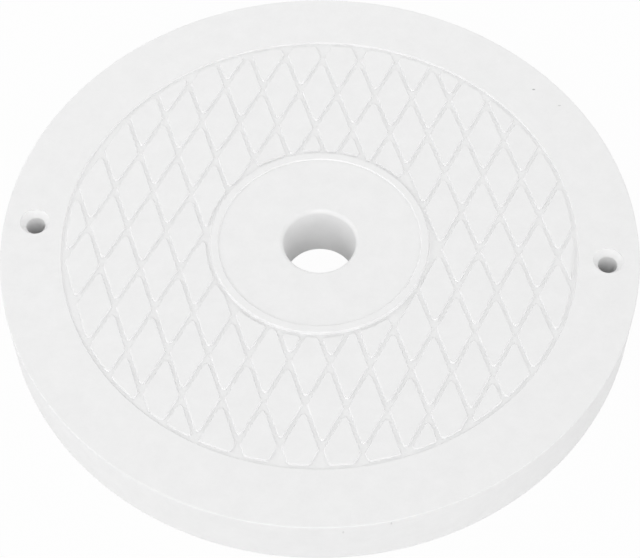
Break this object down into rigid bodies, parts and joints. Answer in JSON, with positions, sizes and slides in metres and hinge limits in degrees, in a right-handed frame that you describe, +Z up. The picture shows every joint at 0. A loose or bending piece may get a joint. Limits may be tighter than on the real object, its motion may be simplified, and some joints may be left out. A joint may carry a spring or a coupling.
{
  "type": "pool skimmer lid",
  "caption": "Round moulded skimmer lid with a raised diamond tread, a central finger hole, countersunk screw holes and a ribbed, skirted underside.",
  "frame": {"origin": "centre of the plane that the lower edge of the skirt stands on, on the axis of the finger hole", "axes": "+Z up through the tread, X through the two screw holes, Y along the long axis of the tread's diamonds"},
  "size_m": [0.2514, 0.2514, 0.0266],
  "materials": {
    "white_abs": "moulded satin white ABS"
  },
  "bodies": {
    "root": {"skimmer_lid": "white_abs"}
  },
  "joints": []
}
